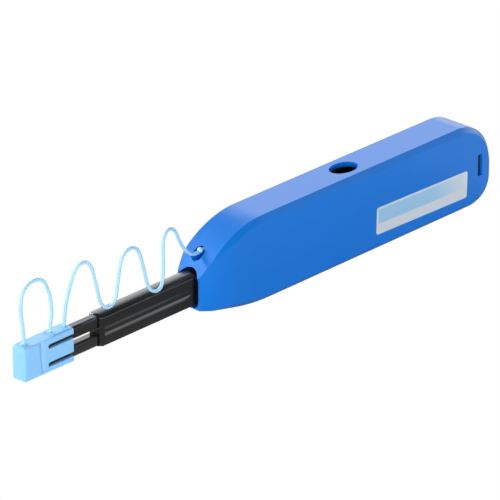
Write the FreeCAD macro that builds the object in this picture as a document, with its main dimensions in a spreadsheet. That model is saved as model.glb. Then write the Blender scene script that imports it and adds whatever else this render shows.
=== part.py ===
"""Push-action cleaning pen for duplex fibre connectors.

The pen stands on the flat underside of its case. +X runs from the cleaning tips to the back of the case,
+Z is up, and y = 0 is the plane in which the two case shells meet. The origin lies on the underside.
All lengths are millimetres and all angles are degrees.
"""
import FreeCAD, Part
import math
import os
import Sketcher
from FreeCAD import Placement, Rotation, Vector

SIZES = {
    # case
    "case_rear": 60.0,
    "case_length": 140.0,
    "case_height": 30.4,
    "case_thickness": 16.1,
    "case_wall": 1.8,
    "edge_chamfer": 1.7,
    "rear_top_round": 16.3,
    "rear_bottom_round": 9.8,
    "nose_top_round": 35.0,
    "nose_top_run": 28.0,
    "nose_bottom_round": 80.0,
    "nose_bottom_run": 31.5,
    "nose_bottom_slope": 12.0,
    "nose_plan_round": 41.0,
    "nose_plan_run": 16.0,
    "nose_block": 10.0,
    "mouth_gap_side": 1.15,
    "mouth_gap_low": 0.6,
    "mouth_gap_high": 1.2,
    "mouth_low_round": 2.4,
    "mouth_high_round": 4.1,
    "eyelet_y": 0.7,
    "eyelet_width": 4.1,
    "eyelet_height": 3.8,
    "eyelet_z": 21.9,
    "window_x": -6.3,
    "window_length": 11.4,
    "window_width": 8.0,
    "window_end_round": 3.2,
    "latch_x": 53.6,
    "latch_z": 14.6,
    "latch_width": 2.3,
    "latch_height": 7.9,
    "boss_width": 4.4,
    "boss_setback": 15.0,
    "boss_from_edge": 6.0,
    "pin_width": 2.0,
    "pin_length": 3.0,
    # label
    "label_x": 24.2,
    "label_z": 10.2,
    "label_length": 45.5,
    "label_height": 9.7,
    "label_thickness": 0.12,
    "label_corner": 0.9,
    "label_tilt": 1.3,
    # nozzle and tips
    "nozzle_z": 11.6,
    "tip_pitch": 6.25,
    "tip_width": 3.46,
    "tip_height": 4.32,
    "tip_bevel": 0.66,
    "tip_front": -146.6,
    "tip_bore": 2.4,
    "tip_front_bevel": 0.2,
    "tip_seat": 20.0,
    "core_width": 1.25,
    "core_setback": 1.2,
    "core_travel": 1.5,
    "collar_width": 3.2,
    "collar_length": 1.2,
    "thread_width": 0.4,
    "tip_spring_length": 9.0,
    "tip_spring_wire": 0.35,
    "sleeve_front": -122.8,
    "sleeve_width": 6.3,
    "sleeve_side_height": 9.8,
    "sleeve_crown": 0.8,
    "sleeve_crown_rim": 0.7,
    "sleeve_corner": 0.45,
    "sleeve_wall": 0.75,
    "sleeve_web": 1.5,
    "web_hole": 2.4,
    "rim_length": 0.9,
    "rim_bevel": 0.85,
    "rim_drop": 0.1,
    "groove_height": 3.2,
    "groove_depth": 0.5,
    "groove_start": 1.6,
    "groove_length": 36.0,
    "groove_fade": 4.0,
    "flange_length": 2.0,
    "flange_lip": 0.7,
    # guide cap and lid
    "cap_rear": -134.9,
    "cap_length": 13.8,
    "lid_length": 7.8,
    "cap_width": 5.8,
    "cap_height": 11.6,
    "cap_round": 0.55,
    "cap_slot_height": 1.55,
    "cap_slot_length": 11.1,
    "lid_round": 0.9,
    "spigot_length": 1.5,
    "spigot_wall": 1.1,
    "scoop_length": 1.9,
    "scoop_rear_length": 1.4,
    "scoop_low_share": 0.3,
    "scoop_depth": 0.6,
    "scoop_margin": 1.2,
    "pad_height": 0.4,
    "pad_length": 8.2,
    "pad_width": 4.2,
    "lid_boss_setback": 2.7,
    "lid_boss_width": 1.9,
    "strap_width": 1.15,
    "toggle_width": 1.9,
    "toggle_setback": 6.0,
    "toggle_y": 0.5,
    "toggle_z": 23.0,
    "toggle_stem": 0.95,
    # carriage and reels
    "carriage_gap": 0.35,
    "carriage_margin": 0.4,
    "carriage_nose_high": 15.7,
    "carriage_nose_drop": 7.2,
    "carriage_nose_low": 21.7,
    "carriage_nose_rise": 3.8,
    "front_post_x": 22.0,
    "block_wall": 0.9,
    "rear_wall_height": 12.0,
    "peg_length": 8.0,
    "post_width": 2.4,
    "post_pin_width": 1.6,
    "guide_width": 1.4,
    "plate_thickness": 1.6,
    "cover_thickness": 1.2,
    "reel_z": 14.6,
    "take_up_x": -10.0,
    "supply_x": 14.5,
    "axle_width": 5.0,
    "flange_width": 21.6,
    "reel_flange": 0.7,
    "reel_neck": 1.0,
    "winding_length": 1.85,
    "take_up_hub": 9.0,
    "take_up_winding_width": 13.0,
    "supply_hub": 10.0,
    "supply_winding_width": 18.0,
    "reel_right": 1.9,
    "ratchet_width": 10.4,
    "ratchet_depth": 0.8,
    "ratchet_teeth": 16,
    "ratchet_length": 1.1,
    "brake_thickness": 0.3,
    # gear, rack and spring
    "gear_module": 0.8,
    "gear_teeth": 22,
    "gear_left": 2.1,
    "gear_length": 1.9,
    "gear_rim": 0.8,
    "rack_teeth": 13,
    "backlash": 0.12,
    "spring_width": 7.2,
    "spring_wire": 0.7,
    "spring_turns": 9,
    "tip_spring_turns": 7,
    "anchor_length": 1.6,
    "anchor_height": 12.0,
    "anchor_peg_length": 5.3,
    "wall_x": 26.4,
    "wall_length": 1.6,
    # clearances
    "fit": 0.05,
    "gap": 0.3,
}

TETHER_ROUTE = [
    (-136.2, 0.0, 17.82),
    (-136.2, -0.2, 22.0),
    (-135.4, -1.4, 30.0),
    (-133.2, -2.6, 38.4),
    (-128.0, -3.5, 39.0),
    (-126.2, -4.2, 31.0),
    (-124.3, -4.8, 21.0),
    (-118.4, -5.0, 20.5),
    (-117.0, -5.0, 28.5),
    (-115.2, -5.0, 37.4),
    (-108.3, -5.0, 38.2),
    (-105.5, -5.1, 29.0),
    (-103.6, -5.4, 20.0),
    (-97.6, -5.5, 18.8),
    (-96.1, -4.6, 26.8),
    (-94.9, -3.2, 36.6),
    (-89.0, -2.2, 37.4),
    (-85.0, -1.4, 29.4),
    (-81.2, -0.7, 24.9),
    (-78.0, -0.2, 22.8),
    (-75.1, 0.3, 22.5),
]

LID_STRAP_ROUTE = [
    (-153.8, 0.0, 17.82),
    (-154.0, 0.0, 23.0),
    (-155.2, 0.0, 30.0),
    (-153.6, 0.0, 37.2),
    (-145.6, 0.0, 38.2),
    (-142.2, 0.0, 31.4),
    (-141.2, 0.0, 24.0),
    (-142.2, 0.0, 20.8),
    (-142.4, 0.0, 17.82),
]


class Size:
    """A length or number that knows both its value and the spreadsheet expression that gives it."""

    def __init__(self, text, value):
        self.text = text
        self.value = value

    @staticmethod
    def of(other):
        return other if isinstance(other, Size) else Size(f"{other:.10g}", float(other))

    def _with(self, sign, other, value):
        return Size(f"({self.text} {sign} {other.text})", value)

    def __add__(self, other):
        other = Size.of(other)
        return self._with("+", other, self.value + other.value)

    def __sub__(self, other):
        other = Size.of(other)
        return self._with("-", other, self.value - other.value)

    def __mul__(self, other):
        other = Size.of(other)
        return self._with("*", other, self.value * other.value)

    def __truediv__(self, other):
        other = Size.of(other)
        return self._with("/", other, self.value / other.value)

    def __radd__(self, other):
        return Size.of(other) + self

    def __rsub__(self, other):
        return Size.of(other) - self

    def __rmul__(self, other):
        return Size.of(other) * self

    def __rtruediv__(self, other):
        return Size.of(other) / self

    def __neg__(self):
        return Size.of(-1.0) * self


def root(size):
    return Size(f"sqrt({size.text})", math.sqrt(size.value))


def sine(size):
    return Size(f"sin({size.text} * 1 deg)", math.sin(math.radians(size.value)))


def cosine(size):
    return Size(f"cos({size.text} * 1 deg)", math.cos(math.radians(size.value)))


def tangent(size):
    return Size(f"tan({size.text} * 1 deg)", math.tan(math.radians(size.value)))


doc = FreeCAD.newDocument("cleaning_pen")
sheet = doc.addObject("Spreadsheet::Sheet", "Sizes")
for row, (name, number) in enumerate(SIZES.items(), start=1):
    sheet.set(f"A{row}", name)
    sheet.set(f"B{row}", f"{number:.10g}")
    sheet.setAlias(f"B{row}", name)
doc.recompute()


def cell(name):
    """The named cell of the sheet as a Size."""
    return Size(f"Sizes.{name}", float(sheet.get(name)))


def bind(target, path, size):
    target.setExpression(path, Size.of(size).text)


# ---------------------------------------------------------------- sketches and features

PLANES = {"XY": "XY_Plane", "XZ": "XZ_Plane", "YZ": "YZ_Plane"}


def new_body(label):
    body = doc.addObject("PartDesign::Body", label)
    body.Label = label
    return body


def base_plane(body, plane):
    return next(f for f in body.Origin.OriginFeatures if f.Role == PLANES[plane])


def new_sketch(body, plane, level):
    """A sketch parallel to one of the body's planes, at that level on the plane's own axis."""
    sketch = body.newObject("Sketcher::SketchObject", f"{body.Label}_sketch")
    sketch.AttachmentSupport = [(base_plane(body, plane), "")]
    sketch.MapMode = "FlatFace"
    normal_level = -level if plane == "XZ" else level
    bind(sketch, "AttachmentOffset.Base.z", normal_level)
    return sketch


def pin(sketch, edge, point, x, y):
    """Hold one point of a sketch edge at (x, y)."""
    for kind, place in (("DistanceX", Size.of(x)), ("DistanceY", Size.of(y))):
        index = sketch.addConstraint(Sketcher.Constraint(kind, -1, 1, edge, point, place.value))
        sketch.setExpression(f"Constraints[{index}]", place.text)


def arc_centre(start, end, radius):
    """Centre of the shorter arc from start to end, on the left for a positive radius, else on the right."""
    run = end - start
    side = 1.0 if radius > 0 else -1.0
    height = math.sqrt(max(radius * radius - run.Length * run.Length / 4.0, 0.0))
    return (start + end) * 0.5 + Vector(-run.y, run.x, 0) * (side * height / run.Length)


def draw_circle(sketch, x, y, width):
    x, y, width = Size.of(x), Size.of(y), Size.of(width)
    centre = Vector(x.value, y.value, 0)
    edge = sketch.addGeometry(Part.Circle(centre, Vector(0, 0, 1), width.value / 2), False)
    pin(sketch, edge, 3, x, y)
    index = sketch.addConstraint(Sketcher.Constraint("Diameter", edge, width.value))
    sketch.setExpression(f"Constraints[{index}]", width.text)


def draw_outline(sketch, corners):
    """A closed outline, anticlockwise. A corner (x, y) ends a straight edge and (x, y, radius) ends an arc."""
    corners = [tuple(Size.of(number) for number in corner) for corner in corners]
    points = [Vector(corner[0].value, corner[1].value, 0) for corner in corners]
    ends = []
    for index, corner in enumerate(corners):
        start, end = points[index - 1], points[index]
        if len(corner) == 2:
            edge = sketch.addGeometry(Part.LineSegment(start, end), False)
            ends.append((edge, 1, 2))
            continue
        radius = corner[2]
        centre = arc_centre(start, end, radius.value)
        first, last = (start, end) if radius.value > 0 else (end, start)
        turn = [math.atan2(p.y - centre.y, p.x - centre.x) for p in (first, last)]
        circle = Part.Circle(centre, Vector(0, 0, 1), abs(radius.value))
        edge = sketch.addGeometry(Part.ArcOfCircle(circle, turn[0], turn[1]), False)
        ends.append((edge, 1, 2) if radius.value > 0 else (edge, 2, 1))
        size = radius if radius.value > 0 else -radius
        number = sketch.addConstraint(Sketcher.Constraint("Radius", edge, size.value))
        sketch.setExpression(f"Constraints[{number}]", size.text)
    for index, corner in enumerate(corners):
        edge, first, last = ends[index]
        previous = ends[index - 1]
        sketch.addConstraint(Sketcher.Constraint("Coincident", previous[0], previous[2], edge, first))
        pin(sketch, edge, last, corner[0], corner[1])


def draw(sketch, loops):
    for loop in loops:
        if isinstance(loop, list):
            draw_outline(sketch, loop)
        else:
            draw_circle(sketch, *loop)


def prism(body, plane, low, high, loops, kind="PartDesign::Pad"):
    """Add, or with a pocket take away, the loops swept from low to high along the plane's world axis."""
    low, high = Size.of(low), Size.of(high)
    sketch = new_sketch(body, plane, high if plane == "XZ" else low)
    draw(sketch, loops)
    feature = body.newObject(kind, f"{body.Label}_{kind.split('::')[1].lower()}")
    feature.Profile = sketch
    feature.Type = "Length"
    bind(feature, "Length", high - low)
    if kind == "PartDesign::Pocket":
        feature.Reversed = True
    return feature


def cut(body, plane, low, high, loops):
    return prism(body, plane, low, high, loops, "PartDesign::Pocket")


def dressed(body, kind, base, test, **sizes):
    """A fillet or chamfer on the edges of base that pass the test."""
    doc.recompute()
    edges = [f"Edge{i}" for i, edge in enumerate(base.Shape.Edges, start=1) if test(edge)]
    if not edges:
        raise RuntimeError(f"{body.Label}: no edge to dress")
    feature = body.newObject(kind, f"{body.Label}_{kind.split('::')[1].lower()}")
    feature.Base = (base, edges)
    for name, size in sizes.items():
        if isinstance(size, str):
            setattr(feature, name, size)
        else:
            bind(feature, name, size)
    return feature


def rectangle(x, y, width, height, corner=None):
    """A rectangle about (x, y), with round corners if corner is given."""
    left, right, low, high = x - width / 2, x + width / 2, y - height / 2, y + height / 2
    if corner is None:
        return [(right, low), (right, high), (left, high), (left, low)]
    return [
        (right - corner, low),
        (right, low + corner, corner),
        (right, high - corner),
        (right - corner, high, corner),
        (left + corner, high),
        (left, high - corner, corner),
        (left, low + corner),
        (left + corner, low, corner),
    ]


def bevelled(x, y, width, height, bevel):
    """A rectangle about (x, y) with its corners cut at 45 degrees."""
    left, right, low, high = x - width / 2, x + width / 2, y - height / 2, y + height / 2
    return [
        (right - bevel, low),
        (right, low + bevel),
        (right, high - bevel),
        (right - bevel, high),
        (left + bevel, high),
        (left, high - bevel),
        (left, low + bevel),
        (left + bevel, low),
    ]


def oval(x, y, length, width, end_round):
    """A four-arc oval about (x, y), its length along the first direction."""
    a, b = length / 2, width / 2
    side_round = (a * a + b * b - 2 * a * end_round) / (2 * (b - end_round))
    reach = root((a - end_round) * (a - end_round) + (side_round - b) * (side_round - b))
    tip_x = (a - end_round) * (1 + end_round / reach)
    tip_y = (side_round - b) * end_round / reach
    return [
        (x + tip_x, y + tip_y, end_round),
        (x - tip_x, y + tip_y, side_round),
        (x - tip_x, y - tip_y, end_round),
        (x + tip_x, y - tip_y, side_round),
    ]


def flipped(corners, number=1):
    """The same outline with its first (0) or second (1) coordinate reversed, still anticlockwise."""
    result = []
    for index in reversed(range(len(corners))):
        point = [Size.of(coordinate) for coordinate in corners[index - 1][:2]]
        point[number] = -point[number]
        result.append(tuple(point) + tuple(corners[index][2:]))
    return result


def span(side, near, far):
    """Low and high y of a stretch from near to far on that side of the mid plane."""
    near, far = Size.of(near), Size.of(far)
    return (near, far) if side > 0 else (-far, -near)


def patterned(body, kind, feature, axis, **sizes):
    """Repeat a feature about or along one of the body's axes."""
    pattern = body.newObject(kind, f"{body.Label}_pattern")
    pattern.Originals = [feature]
    direction = next(f for f in body.Origin.OriginFeatures if f.Role == axis)
    setattr(pattern, "Axis" if kind.endswith("PolarPattern") else "Direction", (direction, [""]))
    for name, size in sizes.items():
        bind(pattern, name, size)
    body.Tip = pattern
    return pattern


def place(target, x=0.0, y=0.0, z=0.0):
    for axis, size in (("x", x), ("y", y), ("z", z)):
        bind(target, f"Placement.Base.{axis}", size)


def solid_path(label, path, width):
    """A round bar of that width swept along a path."""
    first = path.OrderedEdges[0]
    start, direction = first.valueAt(first.FirstParameter), first.tangentAt(first.FirstParameter)
    profile = Part.Wire([Part.Circle(start, direction, width / 2).toShape()])
    bar = doc.addObject("Part::Feature", label)
    bar.Label = label
    bar.Shape = path.makePipeShell([profile], True, False)
    bar.Placement = Placement()
    return bar


def cord_path(points):
    """Straight runs through the points, joined by tangent arcs."""
    points = [Vector(*point) for point in points]
    edges, start, radii = [], points[0], []
    for before, corner, after in zip(points, points[1:], points[2:]):
        inward, outward = (before - corner).normalize(), (after - corner).normalize()
        half_turn = (math.pi - inward.getAngle(outward)) / 2
        reach = 0.45 * min((before - corner).Length, (after - corner).Length)
        radii.append(reach / math.tan(half_turn))
        first, last = corner + inward * reach, corner + outward * reach
        middle = corner + (inward + outward).normalize() * (reach * math.tan(half_turn / 2))
        edges.append(Part.LineSegment(start, first).toShape())
        edges.append(Part.Arc(first, middle, last).toShape())
        start = last
    edges.append(Part.LineSegment(start, points[-1]).toShape())
    print("smallest bend radius", round(min(radii), 2))
    return Part.Wire(edges)


# ---------------------------------------------------------------- shared places

REAR = cell("case_rear")
FRONT = REAR - cell("case_length")
HEIGHT = cell("case_height")
HALF = cell("case_thickness") / 2
WALL = cell("case_wall")
FIT = cell("fit")
GAP = cell("gap")
INSIDE = HALF - WALL
CAVITY_FRONT = FRONT + cell("nose_block")
NOZZLE_Z = cell("nozzle_z")
UPPER_Z = NOZZLE_Z + cell("tip_pitch") / 2
LOWER_Z = NOZZLE_Z - cell("tip_pitch") / 2
TIP_FRONT = cell("tip_front")
TIP_REAR = cell("sleeve_front") + cell("tip_seat")
WEB_FRONT = TIP_REAR + cell("collar_length") + GAP + cell("tip_spring_length") + GAP
SLEEVE_REAR = CAVITY_FRONT + cell("carriage_gap") + 13.65
REEL_Z = cell("reel_z")
TAKE_UP_X = cell("take_up_x")
SUPPLY_X = cell("supply_x")
CAP_REAR = cell("cap_rear")
CAP_FRONT = CAP_REAR - cell("cap_length")
LID_FRONT = CAP_FRONT - cell("lid_length")
CAP_TOP = NOZZLE_Z + cell("cap_height") / 2
ANCHOR_FRONT = cell("latch_x") + cell("latch_width") / 2


# ---------------------------------------------------------------- case

def case_outline(inset, start):
    """Side view of the case, drawn in by that much, from its rear to the level start."""
    low_arc_x = FRONT + cell("nose_bottom_run")
    low_arc = cell("nose_bottom_round") - inset
    slope = cell("nose_bottom_slope")
    slope_x = low_arc_x - low_arc * sine(slope)
    slope_z = cell("nose_bottom_round") - low_arc * cosine(slope)
    high_arc_x = FRONT + cell("nose_top_run")
    high_arc = cell("nose_top_round") - inset
    high_z = HEIGHT - cell("nose_top_round") + root(high_arc * high_arc - (high_arc_x - start) * (high_arc_x - start))
    low_round, high_round = cell("rear_bottom_round"), cell("rear_top_round")
    return [
        (slope_x, slope_z),
        (low_arc_x, inset, low_arc),
        (REAR - low_round, inset),
        (REAR - inset, low_round, low_round - inset),
        (REAR - inset, HEIGHT - high_round),
        (REAR - high_round, HEIGHT - inset, high_round - inset),
        (high_arc_x, HEIGHT - inset),
        (start, high_z, high_arc),
        (start, slope_z + (slope_x - start) * tangent(slope)),
    ]


def case_shell(label, side):
    """Half of the case, its split face on y = 0, with the nose, the window and the latch slot cut."""
    body = new_body(label)
    pad = prism(body, "XZ", *span(side, 0, HALF), [case_outline(Size.of(0), FRONT)])

    def outer_edge(edge):
        ends = [vertex.Point for vertex in edge.Vertexes]
        on_side = all(abs(abs(end.y) - HALF.value) < 1e-6 for end in ends)
        return on_side and not all(abs(end.x - FRONT.value) < 1e-6 for end in ends)

    dressed(body, "PartDesign::Chamfer", pad, outer_edge, Size=cell("edge_chamfer"))
    plan_round, plan_run = cell("nose_plan_round"), cell("nose_plan_run")
    nose_half = HALF - plan_round + root(plan_round * plan_round - plan_run * plan_run)
    beside_nose = [
        (FRONT + plan_run, HALF, -plan_round),
        (FRONT + plan_run, HALF + 1),
        (FRONT - 1, HALF + 1),
        (FRONT - 1, nose_half),
        (FRONT, nose_half),
    ]
    cut(body, "XY", -1, HEIGHT + 1, [beside_nose if side > 0 else flipped(beside_nose)])
    cut(body, "XZ", *span(side, 0, INSIDE), [case_outline(WALL, CAVITY_FRONT)])
    sleeve_half = cell("sleeve_side_height") / 2 + cell("sleeve_crown")
    mouth_low = NOZZLE_Z - sleeve_half - cell("mouth_gap_low")
    mouth_high = NOZZLE_Z + sleeve_half + cell("mouth_gap_high")
    mouth_width = cell("sleeve_width") + 2 * cell("mouth_gap_side")
    mouth_half = mouth_width / 2
    low_round, high_round = cell("mouth_low_round"), cell("mouth_high_round")
    mouth = [
        (mouth_half - low_round, mouth_low),
        (mouth_half, mouth_low + low_round, low_round),
        (mouth_half, mouth_high - high_round),
        (mouth_half - high_round, mouth_high, high_round),
        (high_round - mouth_half, mouth_high),
        (-mouth_half, mouth_high - high_round, high_round),
        (-mouth_half, mouth_low + low_round),
        (low_round - mouth_half, mouth_low, low_round),
    ]
    eyelet = rectangle(
        cell("eyelet_y"), cell("eyelet_z"), cell("eyelet_width"), cell("eyelet_height"),
        cell("eyelet_height") / 2 - FIT)
    cut(body, "YZ", FRONT - 1, CAVITY_FRONT + 1, [mouth])
    cut(body, "YZ", FRONT - 1, CAVITY_FRONT + 1, [eyelet])
    window = oval(
        cell("window_x"), 0, cell("window_length"), cell("window_width"), cell("window_end_round"))
    cut(body, "XY", HEIGHT - 2 * WALL, HEIGHT + 1, [window])
    latch = rectangle(cell("latch_x"), cell("latch_z"), cell("latch_width"), cell("latch_height"))
    cut(body, "XZ", *span(side, INSIDE - 1, HALF + 1), [latch])
    for x, z in BOSS_PLACES:
        prism(body, "XZ", *span(side, 0, INSIDE + GAP), [(x, z, cell("boss_width"))])
        if side > 0:
            prism(body, "XZ", -cell("pin_length"), 0, [(x, z, cell("pin_width"))])
        else:
            socket = (x, z, cell("pin_width") + 2 * FIT)
            cut(body, "XZ", -cell("pin_length") - GAP, 0, [socket])
    return body


BOSS_PLACES = [
    (REAR - cell("boss_setback"), HEIGHT - cell("boss_from_edge")),
    (REAR - cell("boss_setback"), cell("boss_from_edge") - 1),
]
case_shell("case_shell_left", -1)
right_shell = case_shell("case_shell_right", 1)
rack_pitch = math.pi * cell("gear_module")
rack_half = (cell("rack_teeth") * 0.5 + 0.5) * rack_pitch
rack_front = TAKE_UP_X - 5 * rack_pitch
rack_rear = rack_front + 2 * rack_half
rack_low, rack_high = cell("gear_left"), cell("gear_left") + cell("gear_length")
for x in (rack_front - 1 - FIT, rack_rear + 1 + FIT):
    stop = rectangle(x, (rack_low + rack_high) / 2, 2, rack_high - rack_low)
    prism(right_shell, "XY", WALL / 2, WALL + cell("gear_module") * 2, [stop])

label_plate = new_body("label_plate")
prism(
    label_plate, "XZ", -HALF - cell("label_thickness"), -HALF,
    [rectangle(0, 0, cell("label_length"), cell("label_height"), cell("label_corner"))])
label_plate.Placement = Placement(Vector(0, 0, 0), Rotation(Vector(0, 1, 0), SIZES["label_tilt"]))
place(label_plate, cell("label_x"), 0, cell("label_z"))
bind(label_plate, "Placement.Rotation.Angle", cell("label_tilt"))

# ---------------------------------------------------------------- nozzle sleeve and tips


def sleeve_section(width, side_height, crown):
    """Section of the sleeve with flat sides and crowned top and bottom."""
    half_width, half_height = width / 2, side_height / 2
    crown_round = (half_width * half_width + crown * crown) / (2 * crown)
    return [
        (half_width, NOZZLE_Z - half_height, crown_round),
        (half_width, NOZZLE_Z + half_height),
        (-half_width, NOZZLE_Z + half_height, crown_round),
        (-half_width, NOZZLE_Z - half_height),
    ]


def tip_section(z, play):
    return bevelled(0, z, cell("tip_width") + 2 * play, cell("tip_height") + 2 * play, cell("tip_bevel"))


sleeve = new_body("nozzle_sleeve")
sleeve_front, rim_rear = cell("sleeve_front"), cell("sleeve_front") + cell("rim_length")
sleeve_width, side_height, crown = cell("sleeve_width"), cell("sleeve_side_height"), cell("sleeve_crown")
full_section = sleeve_section(sleeve_width, side_height, crown)
rim_section = sleeve_section(
    sleeve_width - 2 * cell("rim_bevel"), side_height - 2 * cell("rim_drop"), cell("sleeve_crown_rim"))
prism(sleeve, "YZ", rim_rear, SLEEVE_REAR, [full_section])
rim_sketches = []
for level, section in ((rim_rear, full_section), (sleeve_front, rim_section)):
    rim_sketches.append(new_sketch(sleeve, "YZ", level))
    draw(rim_sketches[-1], [section])
rim = sleeve.newObject("PartDesign::AdditiveLoft", "sleeve_rim")
rim.Profile = rim_sketches[0]
rim.Sections = [rim_sketches[1]]
rim.Ruled = True


def sleeve_corner(edge):
    ends = [vertex.Point for vertex in edge.Vertexes]
    long_edge = len(ends) == 2 and abs(ends[0].x - ends[1].x) > 1
    return long_edge and all(abs(abs(end.z - NOZZLE_Z.value) - side_height.value / 2) < 0.2 for end in ends)


dressed(sleeve, "PartDesign::Fillet", rim, sleeve_corner, Radius=cell("sleeve_corner"))
flange_width = sleeve_width + 2 * cell("flange_lip")
flange_height = side_height + 2 * crown + 2 * cell("flange_lip") / 2
prism(sleeve, "YZ", SLEEVE_REAR - FIT, SLEEVE_REAR + cell("flange_length"), [
    rectangle(0, NOZZLE_Z, flange_width, flange_height)])
for z in (UPPER_Z, LOWER_Z):
    cut(sleeve, "YZ", sleeve_front - 1, TIP_REAR + FIT, [tip_section(z, FIT)])
front_room = rectangle(0, NOZZLE_Z, cell("tip_width") + 2 * FIT, side_height - 4 * FIT)
cut(sleeve, "YZ", TIP_REAR, WEB_FRONT, [front_room])
for z in (UPPER_Z, LOWER_Z):
    cut(sleeve, "YZ", WEB_FRONT - 1, WEB_FRONT + cell("sleeve_web") + 1, [(0, z, cell("web_hole"))])
rear_room = rectangle(0, NOZZLE_Z, sleeve_width - 2 * cell("sleeve_wall"), side_height - 2 * GAP)
cut(sleeve, "YZ", WEB_FRONT + cell("sleeve_web"), SLEEVE_REAR + cell("flange_length") + 1, [rear_room])


def groove_section(height, depth, side):
    """Round-bottomed groove in one side of the sleeve."""
    half = height / 2
    groove_round = (half * half + depth * depth) / (2 * depth)
    section = [
        (sleeve_width / 2, NOZZLE_Z + half),
        (sleeve_width / 2, NOZZLE_Z - half, groove_round),
        (sleeve_width / 2 + 1, NOZZLE_Z - half),
        (sleeve_width / 2 + 1, NOZZLE_Z + half),
    ]
    return section if side > 0 else flipped(section, 0)


def tapered_cut(body, plane, start, first, end, last):
    """Take away the space between two sections on parallel planes."""
    sketches = []
    for level, section in ((start, first), (end, last)):
        sketches.append(new_sketch(body, plane, level))
        draw(sketches[-1], [section])
    loft = body.newObject("PartDesign::SubtractiveLoft", f"{body.Label}_taper")
    loft.Profile = sketches[0]
    loft.Sections = [sketches[1]]
    loft.Ruled = True
    return loft


groove_front = sleeve_front + cell("groove_start")
groove_rear = groove_front + cell("groove_length")
groove_height, groove_depth = cell("groove_height"), cell("groove_depth")
for side in (1, -1):
    cut(sleeve, "YZ", groove_front, groove_rear, [groove_section(groove_height, groove_depth, side)])
    tapered_cut(
        sleeve, "YZ", groove_rear, groove_section(groove_height, groove_depth, side),
        groove_rear + cell("groove_fade"), groove_section(groove_height * 0.4, groove_depth * 0.06, side))

CORE_FRONT = TIP_FRONT + cell("core_setback")
THREAD_OFFSET = cell("core_width") / 2 + cell("thread_width") / 2 + FIT
for name, z in (("upper", UPPER_Z), ("lower", LOWER_Z)):
    shroud = new_body(f"tip_shroud_{name}")
    pad = prism(shroud, "YZ", TIP_FRONT, TIP_REAR, [tip_section(z, Size.of(0))])
    dressed(
        shroud, "PartDesign::Chamfer", pad,
        lambda edge: all(abs(vertex.X - TIP_FRONT.value) < 1e-6 for vertex in edge.Vertexes),
        Size=cell("tip_front_bevel"))
    cut(shroud, "YZ", TIP_FRONT - 1, TIP_REAR + 1, [(0, z, cell("tip_bore"))])

    core = new_body(f"tip_core_{name}")
    collar_front = TIP_REAR + GAP
    collar_rear = collar_front + cell("collar_length")
    core_rear = WEB_FRONT - cell("core_travel") - 2 * GAP
    rod = prism(core, "YZ", CORE_FRONT, core_rear, [(0, z, cell("core_width"))])
    dressed(
        core, "PartDesign::Fillet", rod,
        lambda edge: all(abs(vertex.X - CORE_FRONT.value) < 1e-6 for vertex in edge.Vertexes),
        Radius=cell("core_width") / 2 - FIT)
    prism(core, "YZ", collar_front, collar_rear, [(0, z, cell("collar_width"))])
    slot_width = cell("thread_width") + 2 * GAP
    slot_middle = cell("core_width") / 2 + cell("collar_width") / 2
    for side in (1, -1):
        slot = rectangle(0, z + side * slot_middle / 2 + side * GAP, slot_width, cell("collar_width") / 2)
        cut(core, "YZ", collar_front - 1, collar_rear + 1, [slot])


def coil(label, start, end, turns, outer_width, wire, y, z):
    """A compression spring about a line along X."""
    coil_radius = (outer_width - wire) / 2
    length = end - start - wire
    path = Part.makeHelix(length / turns, length, coil_radius)
    path.Placement = Placement(Vector(start + wire / 2, y, z), Rotation(Vector(0, 1, 0), 90))
    return solid_path(label, Part.Wire(path.Edges), wire)


for name, z in (("upper", UPPER_Z), ("lower", LOWER_Z)):
    spring_front = TIP_REAR + 2 * GAP + cell("collar_length")
    coil(
        f"tip_spring_{name}", spring_front.value, WEB_FRONT.value, SIZES["tip_spring_turns"],
        SIZES["collar_width"], SIZES["tip_spring_wire"], 0, z.value)

# ---------------------------------------------------------------- guide cap, lid and straps


def cap_section(inset, corner):
    return rectangle(0, NOZZLE_Z, cell("cap_width") - 2 * inset, cell("cap_height") - 2 * inset, corner)


def scoop(parting, length, share, side):
    """Plan of the nail scoop on one side of a piece, its deep end on the parting line."""
    half_width = cell("cap_width") / 2
    corners = [
        (parting, half_width - cell("scoop_depth") * share),
        (parting, half_width + 1),
        (parting - length, half_width + 1),
        (parting - length, half_width),
    ]
    if length.value < 0:
        corners = [corners[0]] + corners[:0:-1]
    return corners if side > 0 else flipped(corners)


def cut_scoops(body, length, low_length):
    """The scoop on both sides of a piece, narrow and shallow below, wide and deep at the top."""
    for side in (1, -1):
        tapered_cut(
            body, "XY", SCOOP_LOW, scoop(CAP_FRONT, low_length, cell("scoop_low_share"), side),
            CAP_TOP + 1, scoop(CAP_FRONT, length, Size.of(1), side))


SCOOP_LOW = NOZZLE_Z - cell("cap_height") / 2 + cell("scoop_margin")
spigot_wall = cell("spigot_wall")
cap = new_body("guide_cap")
prism(cap, "YZ", CAP_FRONT, CAP_REAR, [cap_section(0, cell("cap_round"))])
pad_high = CAP_TOP + cell("pad_height")
pad_front = CAP_REAR - cell("pad_length")
strap_pad = prism(cap, "XY", CAP_TOP - GAP, pad_high, [
    rectangle((pad_front + CAP_REAR) / 2, 0, CAP_REAR - pad_front, cell("pad_width"))])


def pad_edge(edge):
    return all(
        abs(vertex.Z - pad_high.value) < 1e-6 and abs(vertex.X - CAP_REAR.value) < 1e-6 for vertex in edge.Vertexes)


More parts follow.
